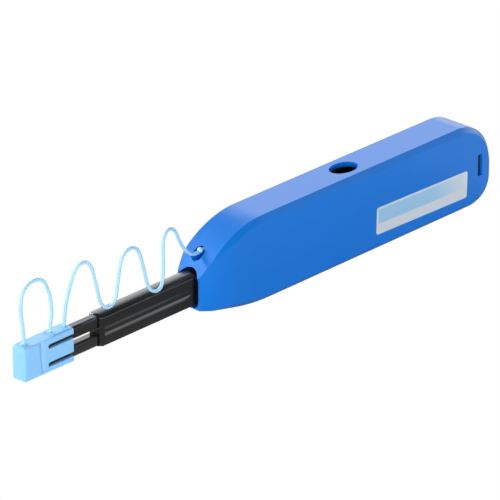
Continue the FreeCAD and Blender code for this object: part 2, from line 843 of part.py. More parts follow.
dressed(cap, "PartDesign::Fillet", strap_pad, pad_edge, Radius=cell("pad_height") - FIT)
recess_rear = CAP_FRONT + cell("spigot_length") + GAP
cut(cap, "YZ", CAP_FRONT - 1, recess_rear, [cap_section(spigot_wall, cell("cap_round"))])
for z in (UPPER_Z, LOWER_Z):
    cut(cap, "YZ", recess_rear - FIT, CAP_REAR + 1, [tip_section(z, FIT)])
    slot_half = cell("cap_slot_height") / 2
    slot_front = CAP_REAR - cell("cap_slot_length")
    slot_round = slot_half - FIT
    cut(cap, "XZ", -cell("cap_width"), cell("cap_width"), [[
        (CAP_REAR + 1, z - slot_half),
        (CAP_REAR + 1, z + slot_half),
        (slot_front + slot_round, z + slot_half),
        (slot_front, z + slot_half - slot_round, slot_round),
        (slot_front, z - slot_half + slot_round),
        (slot_front + slot_round, z - slot_half, slot_round),
    ]])
cut_scoops(cap, -cell("scoop_rear_length"), -cell("scoop_rear_length"))

lid = new_body("cap_lid")
lid_pad = prism(lid, "YZ", LID_FRONT, CAP_FRONT, [cap_section(0, cell("cap_round"))])
dressed(
    lid, "PartDesign::Fillet", lid_pad,
    lambda edge: all(abs(vertex.X - LID_FRONT.value) < 1e-6 for vertex in edge.Vertexes),
    Radius=cell("lid_round"))
boss_x = LID_FRONT + cell("lid_boss_setback")
lid_boss = prism(lid, "XY", CAP_TOP - GAP, pad_high, [(boss_x, 0, cell("lid_boss_width"))])
prism(lid, "YZ", CAP_FRONT - GAP, CAP_FRONT + cell("spigot_length"), [
    cap_section(spigot_wall + FIT, cell("cap_round"))])
cut_scoops(lid, cell("scoop_length"), cell("scoop_length") * cell("scoop_low_share"))

STRAP_WIDTH = SIZES["strap_width"]
solid_path("tether", cord_path(TETHER_ROUTE), STRAP_WIDTH)
solid_path("lid_strap", cord_path(LID_STRAP_ROUTE), STRAP_WIDTH)


def primitive(kind, name, x, y, z, **sizes):
    shape = doc.addObject(f"Part::{kind}", name)
    for key, size in sizes.items():
        bind(shape, key, size)
    place(shape, x, y, z)
    return shape


toggle_x = FRONT + cell("toggle_setback")
toggle_y, toggle_z = cell("toggle_y"), cell("toggle_z")
bar_x = CAVITY_FRONT + cell("toggle_width") / 2 + GAP
ball = primitive("Sphere", "toggle_ball", toggle_x, toggle_y, toggle_z, Radius=cell("toggle_width") / 2)
stem = primitive(
    "Cylinder", "toggle_stem", toggle_x, toggle_y, toggle_z, Radius=cell("toggle_stem") / 2, Height=bar_x - toggle_x)
stem.Placement = Placement(stem.Placement.Base, Rotation(Vector(0, 1, 0), 90))
bar_length = cell("eyelet_width") + 4 * GAP
bar = primitive(
    "Cylinder", "toggle_bar", bar_x, toggle_y + bar_length / 2, toggle_z, Radius=cell("toggle_stem") / 2, Height=bar_length)
bar.Placement = Placement(bar.Placement.Base, Rotation(Vector(1, 0, 0), 90))
toggle = doc.addObject("Part::MultiFuse", "tether_toggle")
toggle.Label = "tether_toggle"
toggle.Shapes = [ball, stem, bar]

# ---------------------------------------------------------------- carriage

PLATE_RIGHT = INSIDE - cell("carriage_gap")
PLATE_LEFT = PLATE_RIGHT - cell("plate_thickness")
COVER_LEFT = -PLATE_RIGHT
COVER_RIGHT = COVER_LEFT + cell("cover_thickness")
CARRIAGE_FRONT = CAVITY_FRONT + GAP
WALL_X = cell("wall_x")
CARRIAGE_REAR = WALL_X + cell("wall_length")
PLATE_LOW = WALL + cell("carriage_margin")
PLATE_HIGH = HEIGHT - WALL - cell("carriage_margin")
AXLES = (TAKE_UP_X, SUPPLY_X)
POSTS = [
    (WALL_X - 3, PLATE_LOW + 2),
    (WALL_X - 3, PLATE_HIGH - 2.4),
    (CARRIAGE_FRONT + cell("front_post_x"), PLATE_HIGH - 2 * cell("post_width")),
    (CARRIAGE_FRONT + cell("front_post_x") - 2 * cell("post_width"), PLATE_LOW + cell("post_width")),
]
AXLE_WIDTH = cell("axle_width")
carriage = new_body("carriage")
prism(carriage, "XZ", PLATE_LEFT, PLATE_RIGHT, [[
    (CARRIAGE_FRONT + cell("carriage_nose_low"), PLATE_LOW),
    (CARRIAGE_REAR, PLATE_LOW),
    (CARRIAGE_REAR, PLATE_HIGH),
    (CARRIAGE_FRONT + cell("carriage_nose_high"), PLATE_HIGH),
    (CARRIAGE_FRONT, PLATE_HIGH - cell("carriage_nose_drop")),
    (CARRIAGE_FRONT, PLATE_LOW + cell("carriage_nose_rise")),
]])
prism(carriage, "YZ", CARRIAGE_FRONT, SLEEVE_REAR - FIT, [
    rectangle(0, NOZZLE_Z, 2 * PLATE_RIGHT, side_height + 2 * crown + 2 * cell("block_wall"))])
cut(carriage, "YZ", CARRIAGE_FRONT - 1, SLEEVE_REAR + 1, [
    rectangle(0, NOZZLE_Z, sleeve_width + 2 * FIT, side_height + 2 * crown + 2 * FIT)])
prism(carriage, "YZ", WALL_X, CARRIAGE_REAR, [
    rectangle(0, REEL_Z, 2 * (PLATE_LEFT - FIT * 2), cell("rear_wall_height"))])
prism(carriage, "YZ", CARRIAGE_REAR - GAP, CARRIAGE_REAR + cell("peg_length"), [
    (0, REEL_Z, cell("spring_width") - 4 * cell("spring_wire"))])
prism(carriage, "XY", REEL_Z - cell("rear_wall_height") / 2, REEL_Z + cell("rear_wall_height") / 2, [
    rectangle((WALL_X + CARRIAGE_REAR) / 2, PLATE_LEFT, cell("wall_length"), cell("plate_thickness"))])
for x in AXLES:
    prism(carriage, "XZ", COVER_LEFT + 2 * GAP, PLATE_LEFT + GAP, [(x, REEL_Z, AXLE_WIDTH)])
BRAKE_LEFT = cell("reel_right") + FIT
BRAKE_RIGHT = BRAKE_LEFT + cell("brake_thickness")
prism(carriage, "XZ", BRAKE_RIGHT + FIT, PLATE_LEFT + GAP, [(SUPPLY_X, REEL_Z, AXLE_WIDTH + 3)])
for x, z in POSTS:
    prism(carriage, "XZ", COVER_RIGHT, PLATE_LEFT + GAP, [(x, z, cell("post_width"))])
    prism(carriage, "XZ", COVER_LEFT + GAP, COVER_RIGHT + GAP, [(x, z, cell("post_pin_width"))])

cover = new_body("carriage_cover")
cover_front = CARRIAGE_FRONT + 14.8
prism(cover, "XZ", COVER_LEFT, COVER_RIGHT, [
    rectangle((cover_front + WALL_X - GAP) / 2, (PLATE_LOW + PLATE_HIGH) / 2, WALL_X - GAP - cover_front,
              PLATE_HIGH - PLATE_LOW, Size.of(3))])
GUIDE_X, GUIDE_Z = TAKE_UP_X - 16, WALL + 2.8
prism(cover, "XZ", COVER_RIGHT - GAP, cell("gear_left") - 2 * GAP, [(GUIDE_X, GUIDE_Z, cell("guide_width"))])
for x in AXLES:
    cut(cover, "XZ", COVER_LEFT - 1, COVER_RIGHT + 1, [(x, REEL_Z, AXLE_WIDTH + 2 * FIT)])
for x, z in POSTS:
    cut(cover, "XZ", COVER_LEFT - 1, COVER_RIGHT + 1, [(x, z, cell("post_pin_width") + 2 * FIT)])

# ---------------------------------------------------------------- reels

FLANGE = cell("reel_flange")
WINDING = cell("winding_length")
STATIONS = [cell("reel_right") - FLANGE]
for step in (WINDING, FLANGE, WINDING, FLANGE):
    STATIONS.append(STATIONS[-1] - step)
UPPER_WINDING = (STATIONS[1], STATIONS[0])
LOWER_WINDING = (STATIONS[3], STATIONS[2])
UPPER_LANE = (STATIONS[1] + STATIONS[0]) / 2
LOWER_LANE = (STATIONS[3] + STATIONS[2]) / 2


def reel(label, x, hub_width):
    """A spool with three flanges round two threads, turned about its axle."""
    bore, hub, rim = (AXLE_WIDTH + 2 * FIT) / 2, hub_width / 2, cell("flange_width") / 2
    neck = bore + cell("reel_neck")
    body = new_body(label)
    sketch = new_sketch(body, "XY", 0)
    draw(sketch, [[
        (neck, COVER_RIGHT + 2 * FIT),
        (neck, STATIONS[4]),
        (rim, STATIONS[4]),
        (rim, STATIONS[3]),
        (hub, STATIONS[3]),
        (hub, STATIONS[2]),
        (rim, STATIONS[2]),
        (rim, STATIONS[1]),
        (hub, STATIONS[1]),
        (hub, STATIONS[0]),
        (rim, STATIONS[0]),
        (rim, cell("reel_right")),
        (bore, cell("reel_right")),
        (bore, COVER_RIGHT + 2 * FIT),
    ]])
    turned = body.newObject("PartDesign::Revolution", f"{label}_turned")
    turned.Profile = sketch
    turned.ReferenceAxis = (sketch, ["V_Axis"])
    turned.Angle = 360
    place(body, x, 0, REEL_Z)
    return body


def winding(label, x, hub_width, width, stretch):
    """Thread wound between two flanges of a reel."""
    body = new_body(label)
    prism(body, "XZ", stretch[0] + FIT, stretch[1] - FIT, [(0, 0, width), (0, 0, hub_width + 2 * FIT)])
    place(body, x, 0, REEL_Z)


take_up_reel = reel("take_up_reel", TAKE_UP_X, cell("take_up_hub"))
reel("supply_reel", SUPPLY_X, cell("supply_hub"))
for name, stretch in (("upper", UPPER_WINDING), ("lower", LOWER_WINDING)):
    winding(f"take_up_winding_{name}", TAKE_UP_X, cell("take_up_hub"), cell("take_up_winding_width"), stretch)
    winding(f"supply_winding_{name}", SUPPLY_X, cell("supply_hub"), cell("supply_winding_width"), stretch)

brake = new_body("brake_washer")
prism(brake, "XZ", BRAKE_LEFT, BRAKE_RIGHT, [(0, 0, AXLE_WIDTH + 3), (0, 0, AXLE_WIDTH + 2 * FIT)])
place(brake, SUPPLY_X, 0, REEL_Z)


def polar(radius, angle):
    """A point at a radius and an angle, the angle from the first direction."""
    return radius * cosine(Size.of(angle)), radius * sine(Size.of(angle))


ratchet_rim = cell("ratchet_width") / 2
ratchet_root = ratchet_rim - cell("ratchet_depth")
ratchet_low, ratchet_high = cell("reel_right"), cell("reel_right") + cell("ratchet_length")
prism(take_up_reel, "XZ", ratchet_low - GAP, ratchet_high, [
    (0, 0, 2 * ratchet_root), (0, 0, AXLE_WIDTH + 2 * FIT)])
tooth_turn = 360 / cell("ratchet_teeth")
ratchet_tooth = prism(take_up_reel, "XZ", ratchet_low, ratchet_high, [[
    polar(ratchet_root - GAP, 0),
    polar(ratchet_rim, 0),
    polar(ratchet_root, tooth_turn),
    polar(ratchet_root - GAP, tooth_turn),
]])
patterned(
    take_up_reel, "PartDesign::PolarPattern", ratchet_tooth, "Y_Axis", Angle=360,
    Occurrences=cell("ratchet_teeth"))

# ---------------------------------------------------------------- drive gear and rack

MODULE = cell("gear_module")
PITCH_RADIUS = MODULE * cell("gear_teeth") / 2
GEAR_LOW, GEAR_HIGH = cell("gear_left"), cell("gear_left") + cell("gear_length")
PRESSURE_ANGLE = 20
BASE_RADIUS = PITCH_RADIUS * cosine(Size.of(PRESSURE_ANGLE))
DEGREE = 180 / math.pi


def tooth_half_angle(radius):
    """Half the angle that a gear tooth takes up at a radius, in degrees."""
    roll = root((radius / BASE_RADIUS) * (radius / BASE_RADIUS) - 1)
    unwound = roll * DEGREE - Size(f"(atan({roll.text}) / 1 deg)", math.degrees(math.atan(roll.value)))
    at_pitch = math.tan(math.radians(PRESSURE_ANGLE)) * DEGREE - PRESSURE_ANGLE
    play = cell("backlash") / 4 / PITCH_RADIUS * DEGREE
    return 90 / cell("gear_teeth") + at_pitch - unwound - play


gear_root = PITCH_RADIUS - 1.25 * MODULE
gear = new_body("drive_gear")
prism(gear, "XZ", GEAR_LOW, GEAR_HIGH, [(0, 0, 2 * gear_root), (0, 0, AXLE_WIDTH + 2 * FIT)])
tooth_angle = -90 + 180 / cell("gear_teeth")
flank = [BASE_RADIUS + MODULE * share for share in (0.05, 0.3, 0.6, 0.95)] + [PITCH_RADIUS + MODULE]
low_side = [polar(radius, tooth_angle - tooth_half_angle(radius)) for radius in flank]
high_side = [polar(radius, tooth_angle + tooth_half_angle(radius)) for radius in reversed(flank)]
foot = tooth_half_angle(flank[0])
gear_tooth = prism(gear, "XZ", GEAR_LOW, GEAR_HIGH, [
    [polar(gear_root - GAP, tooth_angle - foot)] + low_side + high_side
    + [polar(gear_root - GAP, tooth_angle + foot)]])
patterned(gear, "PartDesign::PolarPattern", gear_tooth, "Y_Axis", Angle=360, Occurrences=cell("gear_teeth"))
recess_high = ratchet_high + FIT * 2
rim_inner = gear_root - cell("gear_rim")
cut(gear, "XZ", GEAR_LOW - 1, recess_high, [(0, 0, 2 * rim_inner)])
pawl = prism(gear, "XZ", GEAR_LOW, recess_high + GAP, [[
    polar(rim_inner + GAP, 0),
    polar(rim_inner + GAP, 12),
    polar(rim_inner - 0.75, 30),
    polar(ratchet_rim + 0.75, 52),
    polar(ratchet_rim + 2 * FIT, 54),
    polar(ratchet_rim + 2 * FIT, 46),
    polar(rim_inner - 1.15, 28),
]])
patterned(gear, "PartDesign::PolarPattern", pawl, "Y_Axis", Angle=360, Occurrences=2)
place(gear, TAKE_UP_X, 0, REEL_Z)

rack = new_body("feed_rack")
pitch_line = REEL_Z - PITCH_RADIUS
rack_root = pitch_line - 1.25 * MODULE
rack_tip = pitch_line + MODULE
flank_slope = math.tan(math.radians(PRESSURE_ANGLE))
half_at_pitch = rack_pitch / 4 - cell("backlash") / 4
root_half = half_at_pitch + (pitch_line - rack_root) * flank_slope
tip_half = half_at_pitch - MODULE * flank_slope
prism(rack, "XZ", GEAR_LOW, GEAR_HIGH, [
    rectangle((rack_front + rack_rear) / 2, (WALL + rack_root) / 2, rack_rear - rack_front, rack_root - WALL)])
first_tooth = TAKE_UP_X - 4 * rack_pitch
rack_tooth = prism(rack, "XZ", GEAR_LOW, GEAR_HIGH, [[
    (first_tooth - root_half, rack_root - GAP),
    (first_tooth + root_half, rack_root - GAP),
    (first_tooth + root_half, rack_root),
    (first_tooth + tip_half, rack_tip),
    (first_tooth - tip_half, rack_tip),
    (first_tooth - root_half, rack_root),
]])
patterned(
    rack, "PartDesign::LinearPattern", rack_tooth, "X_Axis", Length=(cell("rack_teeth") - 1) * rack_pitch,
    Occurrences=cell("rack_teeth"))

# ---------------------------------------------------------------- return spring and its anchor

anchor = new_body("rear_anchor")
ANCHOR_REAR = ANCHOR_FRONT + cell("anchor_length")
lug_low = cell("latch_z") - cell("latch_height") / 2 + 3 * FIT
lug_high = cell("latch_z") + cell("latch_height") / 2 - 3 * FIT
arm_outer = INSIDE - 2 * FIT
anchor_half = arm_outer
lug_front = cell("latch_x") - cell("latch_width") / 2 + 2 * FIT
lug_rear = ANCHOR_FRONT - 2 * FIT
prism(anchor, "YZ", ANCHOR_FRONT, ANCHOR_REAR, [
    rectangle(0, REEL_Z, 2 * anchor_half, cell("anchor_height"), Size.of(1))])
for side in (1, -1):
    middle = side * (arm_outer - 0.45)
    prism(anchor, "XY", lug_low, lug_high, [
        rectangle((lug_front + ANCHOR_FRONT) / 2 + GAP / 2, middle, ANCHOR_FRONT - lug_front + GAP, Size.of(0.9))])
    prism(anchor, "XZ", *span(side, arm_outer - GAP, HALF - 1), [
        rectangle((lug_front + lug_rear) / 2, cell("latch_z"), lug_rear - lug_front, lug_high - lug_low)])
prism(anchor, "YZ", ANCHOR_FRONT - cell("anchor_peg_length"), ANCHOR_FRONT + GAP, [
    (0, REEL_Z, cell("spring_width") - 4 * cell("spring_wire"))])
prism(anchor, "YZ", ANCHOR_REAR - GAP, REAR - WALL, [rectangle(0, NOZZLE_Z, 6, 3)])
coil(
    "return_spring", CARRIAGE_REAR.value, ANCHOR_FRONT.value, SIZES["spring_turns"], SIZES["spring_width"],
    SIZES["spring_wire"], 0, REEL_Z.value)

# ---------------------------------------------------------------- cleaning threads

THREAD_WIDTH = SIZES["thread_width"]
TOP_Z = (REEL_Z + cell("take_up_winding_width") / 2).value + THREAD_WIDTH / 2
UNDER_Z = (REEL_Z - cell("supply_winding_width") / 2).value - THREAD_WIDTH / 2
POST_Z = (GUIDE_Z - cell("guide_width") / 2).value - THREAD_WIDTH / 2 - 3 * SIZES["gap"]
LOOP_X = CORE_FRONT.value - THREAD_WIDTH / 2 - SIZES["fit"]
ENTRY_X = SLEEVE_REAR.value + 4
MIDDLE_X = WEB_FRONT.value - 4
OFFSET = THREAD_OFFSET.value
for name, z, lane, entry_y, entry_high, entry_low, lift in (
        ("upper", UPPER_Z.value, UPPER_LANE.value, 0.6, 15.0, 13.0, 0.15),
        ("lower", LOWER_Z.value, LOWER_LANE.value, -1.2, 9.0, 7.6, 0.35)):
    solid_path(f"thread_{name}", cord_path([
        (TAKE_UP_X.value, lane, TOP_Z + lift),
        (ENTRY_X, entry_y, entry_high),
        (MIDDLE_X, 0.0, z + OFFSET),
        (LOOP_X, 0.0, z + OFFSET),
        (LOOP_X, 0.0, z - OFFSET),
        (MIDDLE_X, 0.0, z - OFFSET),
        (ENTRY_X, entry_y, entry_low),
        (GUIDE_X.value, lane, POST_Z),
        (TAKE_UP_X.value + 4, lane, POST_Z - 0.1),
        (SUPPLY_X.value, lane, UNDER_Z),
    ]), THREAD_WIDTH)

# ---------------------------------------------------------------- check and export

doc.recompute()
for item in doc.Objects:
    if any(state in ("Invalid", "Error") for state in item.State):
        raise RuntimeError(f"{item.Name} did not compute: {item.State}")
os.makedirs("parts", exist_ok=True)
PIECE_TYPES = ("PartDesign::Body", "Part::Feature", "Part::MultiFuse")
for piece in [item for item in doc.Objects if item.TypeId in PIECE_TYPES]:
    if piece.Shape.isNull() or not piece.Shape.isValid() or len(piece.Shape.Solids) != 1:
        raise RuntimeError(f"{piece.Label} is not one valid solid")
    piece.Shape.exportStep(f"parts/{piece.Label}.step")
    print(piece.Label, round(piece.Shape.Volume, 1))
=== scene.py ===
"""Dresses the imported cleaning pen: finishes, moulded straps, springs, camera and lights."""
import math

import bmesh
import bpy
from mathutils import Matrix, Vector


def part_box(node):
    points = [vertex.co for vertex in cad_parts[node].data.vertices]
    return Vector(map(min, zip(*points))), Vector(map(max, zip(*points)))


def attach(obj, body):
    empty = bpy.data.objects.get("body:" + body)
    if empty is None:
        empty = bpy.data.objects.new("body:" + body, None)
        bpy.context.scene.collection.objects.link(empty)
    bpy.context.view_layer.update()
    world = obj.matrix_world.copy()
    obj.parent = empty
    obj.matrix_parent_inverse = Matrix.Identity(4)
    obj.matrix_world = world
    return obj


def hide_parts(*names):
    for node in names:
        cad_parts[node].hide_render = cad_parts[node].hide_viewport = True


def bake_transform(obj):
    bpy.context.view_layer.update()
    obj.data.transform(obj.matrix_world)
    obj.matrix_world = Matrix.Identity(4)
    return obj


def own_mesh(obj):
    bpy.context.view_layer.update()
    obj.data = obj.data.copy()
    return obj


bl_info = {
    "name": "Connector Cleaning Pen",
    "version": (1, 0, 0),
    "blender": (4, 5, 0),
    "location": "View3D > Sidebar > Cleaning Pen",
    "description": "Builds the looks of a duplex fibre connector cleaning pen",
    "category": "Object",
}

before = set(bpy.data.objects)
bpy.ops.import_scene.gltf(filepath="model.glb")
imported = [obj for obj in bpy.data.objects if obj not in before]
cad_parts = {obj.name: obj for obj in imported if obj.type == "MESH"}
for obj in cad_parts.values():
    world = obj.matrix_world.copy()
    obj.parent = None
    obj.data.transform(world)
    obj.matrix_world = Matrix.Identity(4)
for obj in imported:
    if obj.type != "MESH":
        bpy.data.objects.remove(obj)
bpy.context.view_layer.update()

MM = 0.001

# The routes of the two moulded straps, in millimetres, as they stand at rest.
TETHER_ROUTE = [
    (-136.2, 0.0, 17.82),
    (-136.2, -0.2, 22.0),
    (-135.4, -1.4, 30.0),
    (-133.2, -2.6, 38.4),
    (-128.0, -3.5, 39.0),
    (-126.2, -4.2, 31.0),
    (-124.3, -4.8, 21.0),
    (-118.4, -5.0, 20.5),
    (-117.0, -5.0, 28.5),
    (-115.2, -5.0, 37.4),
    (-108.3, -5.0, 38.2),
    (-105.5, -5.1, 29.0),
    (-103.6, -5.4, 20.0),
    (-97.6, -5.5, 18.8),
    (-96.1, -4.6, 26.8),
    (-94.9, -3.2, 36.6),
    (-89.0, -2.2, 37.4),
    (-85.0, -1.4, 29.4),
    (-81.2, -0.7, 24.9),
    (-78.0, -0.2, 22.8),
    (-75.1, 0.3, 22.5),
]

LID_STRAP_ROUTE = [
    (-153.8, 0.0, 17.82),
    (-154.0, 0.0, 23.0),
    (-155.2, 0.0, 30.0),
    (-153.6, 0.0, 37.2),
    (-145.6, 0.0, 38.2),
    (-142.2, 0.0, 31.4),
    (-141.2, 0.0, 24.0),
    (-142.2, 0.0, 20.8),
    (-142.4, 0.0, 17.82),
]

# The stretch, in metres along the pen, that holds the dip where the tether is parted in two.
FIRST_DIP = (-0.128, -0.113)

# Finished copies: vertices closer than this are merged, and edges sharper than this stay crisp.
MERGE_DISTANCE = 0.0005 * MM
CRISP_ANGLE = math.radians(24.0)

# Moulded plastic: size of its faint clouds, and how far they shift the tone and the roughness.
CLOUD_SIZE = 14.0 * MM
CLOUD_TONE = 0.04
CLOUD_ROUGHNESS = 0.04

# Label: the printed field climbs slightly. Each pair says where an edge of the field begins to
# show and where it shows in full: the left from the label's end, the right as a share of the
# label's length, and the lower and upper from its middle.
PRINT_TILT = math.radians(1.3)
FIELD_LEFT = (0.8 * MM, 1.3 * MM)
FIELD_RIGHT = (0.99, 0.62)
FIELD_LOWER = (-1.3 * MM, -0.9 * MM)
FIELD_UPPER = (4.3 * MM, 3.9 * MM)

RENDER_SIZE = 1000
RENDER_SAMPLES = 192

# Stage: half the table's width, its height under the pen, and the point that the lamps aim at.
TABLE_HALF_WIDTH = 3.0
TABLE_TOP = -0.0005
LAMP_AIM = (-0.03, 0, 0.015)

# World: the level direction of the light behind the pen, the cosines between which the front
# light gives way to it, and the heights in degrees between which each fades to the ceiling.
BACK_WAY = (0.72, 0.69, 0.0)
BACK_FADE = (-0.3, 0.8)
FRONT_HEIGHTS = (6, 30)
BACK_HEIGHTS = (30, 42)
SKY_TINT = (0.95, 0.97, 1.0, 1)


def linear(colour):
    """An sRGB hex colour as linear red, green, blue and alpha."""
    parts = [int(colour[place:place + 2], 16) / 255 for place in (1, 3, 5)]
    light = [part / 12.92 if part <= 0.04045 else ((part + 0.055) / 1.055) ** 2.4
             for part in parts]
    return light + [1.0]


def add_node(tree, kind, inputs=None, **settings):
    """Add a node, set its settings, and set or link its inputs."""
    node = tree.nodes.new(kind)
    for name, value in settings.items():
        setattr(node, name, value)
    for name, value in (inputs or {}).items():
        if isinstance(value, bpy.types.NodeSocket):
            tree.links.new(value, node.inputs[name])
        else:
            node.inputs[name].default_value = value
    return node


def new_material(name):
    """An empty node material and its tree."""
    material = bpy.data.materials.new(name)
    material.use_nodes = True
    material.node_tree.nodes.clear()
    return material, material.node_tree


def close_material(tree, shader):
    """Send a shader to the material's output."""
    add_node(tree, "ShaderNodeOutputMaterial", {"Surface": shader})


def blend_colours(tree, factor, first, second):
    """Blend from the first colour to the second, and return the blend's socket."""
    mix = add_node(tree, "ShaderNodeMix", {"Factor": factor}, data_type="RGBA")
    mix.inputs[6].default_value = first
    mix.inputs[7].default_value = second
    return mix.outputs[2]


def moulded_plastic(name, colour, roughness, grain, depth, edge=0.0, subsurface=0.0, index=1.53):
    """Injection-moulded plastic: a fine spark-eroded grain, a slight cloudiness and softened edges.

    The grain's size and depth and the edges' radius are in metres.
    """
    material, tree = new_material(name)
    place = add_node(tree, "ShaderNodeTexCoord")
    fine = add_node(tree, "ShaderNodeTexNoise", {
        "Vector": place.outputs["Object"], "Scale": 1.0 / grain, "Detail": 3.0, "Roughness": 0.6})
    cloud = add_node(tree, "ShaderNodeTexNoise", {
        "Vector": place.outputs["Object"], "Scale": 1.0 / CLOUD_SIZE, "Detail": 2.0})
    relief = add_node(tree, "ShaderNodeBump", {
        "Strength": 0.35, "Distance": depth, "Height": fine.outputs["Fac"]})
    if edge:
        soft_edge = add_node(tree, "ShaderNodeBevel", {"Radius": edge}, samples=6)
        tree.links.new(soft_edge.outputs["Normal"], relief.inputs["Normal"])
    rough = add_node(tree, "ShaderNodeMapRange", {
        "Value": cloud.outputs["Fac"],
        "To Min": roughness - CLOUD_ROUGHNESS, "To Max": roughness + CLOUD_ROUGHNESS})
    darker = [part * (1 - CLOUD_TONE) for part in colour[:3]] + [1.0]
    lighter = [min(part * (1 + CLOUD_TONE), 1.0) for part in colour[:3]] + [1.0]
    tone = blend_colours(tree, cloud.outputs["Fac"], darker, lighter)
    shader = add_node(tree, "ShaderNodeBsdfPrincipled", {
        "Base Color": tone, "Roughness": rough.outputs["Result"], "IOR": index,
        "Normal": relief.outputs["Normal"]})
    if subsurface:
        shader.inputs["Subsurface Weight"].default_value = subsurface
        shader.inputs["Subsurface Radius"].default_value = (1.0, 1.4, 2.0)
        shader.inputs["Subsurface Scale"].default_value = 0.6 * MM
    close_material(tree, shader.outputs["BSDF"])
    return material


def foil_label(name, colour, field_colour, low, high):
    """Printed silver foil: a satin ground with a plain pale blue field above a bare strip."""
    material, tree = new_material(name)
    place = add_node(tree, "ShaderNodeTexCoord")
    parts = add_node(tree, "ShaderNodeSeparateXYZ", {"Vector": place.outputs["Object"]})
    middle, length = (low + high) / 2, high.x - low.x
    slope = math.tan(PRINT_TILT)
    climb = add_node(
        tree, "ShaderNodeMath",
        {0: parts.outputs["X"], 1: slope, 2: -middle.x * slope - middle.z},
        operation="MULTIPLY_ADD")
    height = add_node(
        tree, "ShaderNodeMath", {0: parts.outputs["Z"], 1: climb.outputs[0]}, operation="ADD")
    edges = []
    for source, (start, end) in (
            (parts.outputs["X"], [low.x + reach for reach in FIELD_LEFT]),
            (parts.outputs["X"], [low.x + length * share for share in FIELD_RIGHT]),
            (height.outputs[0], FIELD_LOWER),
            (height.outputs[0], FIELD_UPPER)):
        edges.append(add_node(
            tree, "ShaderNodeMapRange", {"Value": source, "From Min": start, "From Max": end}))
    field = edges[0].outputs["Result"]
    for edge in edges[1:]:
        field = add_node(
            tree, "ShaderNodeMath", {0: field, 1: edge.outputs["Result"]},
            operation="MULTIPLY").outputs[0]
    tone = blend_colours(tree, field, colour, field_colour)
    grain = add_node(tree, "ShaderNodeTexNoise", {
        "Vector": place.outputs["Object"], "Scale": 1.0 / (0.25 * MM), "Detail": 2.0})
    rough = add_node(tree, "ShaderNodeMapRange", {
        "Value": grain.outputs["Fac"], "To Min": 0.3, "To Max": 0.42})
    shader = add_node(tree, "ShaderNodeBsdfPrincipled", {
        "Base Color": tone, "Metallic": 0.3, "Roughness": rough.outputs["Result"]})
    close_material(tree, shader.outputs["BSDF"])
    return material


def drawn_wire(name, colour):
    """Drawn spring steel: bright, with a slight streak."""
    material, tree = new_material(name)
    place = add_node(tree, "ShaderNodeTexCoord")
    streak = add_node(tree, "ShaderNodeTexNoise", {
        "Vector": place.outputs["Object"], "Scale": 1.0 / (0.3 * MM), "Detail": 2.0})
    rough = add_node(tree, "ShaderNodeMapRange", {
        "Value": streak.outputs["Fac"], "To Min": 0.22, "To Max": 0.38})
    shader = add_node(tree, "ShaderNodeBsdfPrincipled", {
        "Base Color": colour, "Metallic": 1.0, "Roughness": rough.outputs["Result"]})
    close_material(tree, shader.outputs["BSDF"])
    return material


def woven_thread(name, colour):
    """Twisted microfibre: matt, soft sheen, with the strands' slant drawn coarse enough to show."""
    material, tree = new_material(name)
    place = add_node(tree, "ShaderNodeTexCoord")
    strand = add_node(tree, "ShaderNodeTexWave", {
        "Vector": place.outputs["Object"], "Scale": 1.0 / (0.6 * MM), "Distortion": 2.0},
        bands_direction="DIAGONAL")
    relief = add_node(tree, "ShaderNodeBump", {
        "Strength": 0.5, "Distance": 0.04 * MM, "Height": strand.outputs["Fac"]})
    shader = add_node(tree, "ShaderNodeBsdfPrincipled", {
        "Base Color": colour, "Roughness": 0.85, "Sheen Weight": 0.3,
        "Normal": relief.outputs["Normal"]})
    close_material(tree, shader.outputs["BSDF"])
    return material


def finished_copy(node, body, material):
    """A merged, smooth-shaded copy of a CAD node that rides on its body and stands for it."""
    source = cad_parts[node]
    mesh = bmesh.new()
    mesh.from_mesh(source.data)
    bmesh.ops.remove_doubles(mesh, verts=mesh.verts, dist=MERGE_DISTANCE)
    bmesh.ops.recalc_face_normals(mesh, faces=mesh.faces)
    for face in mesh.faces:
        face.smooth = True
        face.material_index = 0
    for edge in mesh.edges:
        edge.smooth = edge.is_manifold and edge.calc_face_angle(0.0) < CRISP_ANGLE
    data = bpy.data.meshes.new(f"{node}_finish")
    mesh.to_mesh(data)
    mesh.free()
    piece = bpy.data.objects.new(f"{node}_finish", data)
    bpy.context.collection.objects.link(piece)
    data.materials.append(material)
    shading = piece.modifiers.new("even_shading", "WEIGHTED_NORMAL")
    shading.keep_sharp = True
    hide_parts(node)
    if body:
        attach(piece, body)
    return piece


def repaint(node, material):
    """Give a CAD node that stays in view its finish."""
    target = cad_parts[node]
    for place in target.material_slots:
        place.material = material
    if not target.material_slots:
        target.data.materials.append(material)


def new_curve(name, kind, points):
    """A curve with one spline through the points, and that spline."""
    curve = bpy.data.curves.new(name, "CURVE")
    curve.dimensions = "3D"
    spline = curve.splines.new(kind)
    spline.points.add(len(points) - 1)
    for point, place in zip(spline.points, points):
        point.co = (*place, 1.0)
    return curve, spline


def mesh_of_curve(curve):
    """The mesh that a curve makes, with nothing left in the scene."""
    holder = bpy.data.objects.new(f"{curve.name}_holder", curve)
    bpy.context.collection.objects.link(holder)
    bpy.context.view_layer.update()
    mesh = bpy.data.meshes.new_from_object(
        holder.evaluated_get(bpy.context.evaluated_depsgraph_get()))
    bpy.data.objects.remove(holder)
    return mesh


def strap_line(name, route):
    """The centreline of a moulded strap: points in metres on a smooth line along a route in mm."""
    curve, spline = new_curve(
        name, "NURBS", [[number * MM for number in place] for place in route])
    curve.resolution_u = 14
    spline.order_u = 3
    spline.use_endpoint_u = True
    return [Vector(vertex.co) for vertex in mesh_of_curve(curve).vertices]


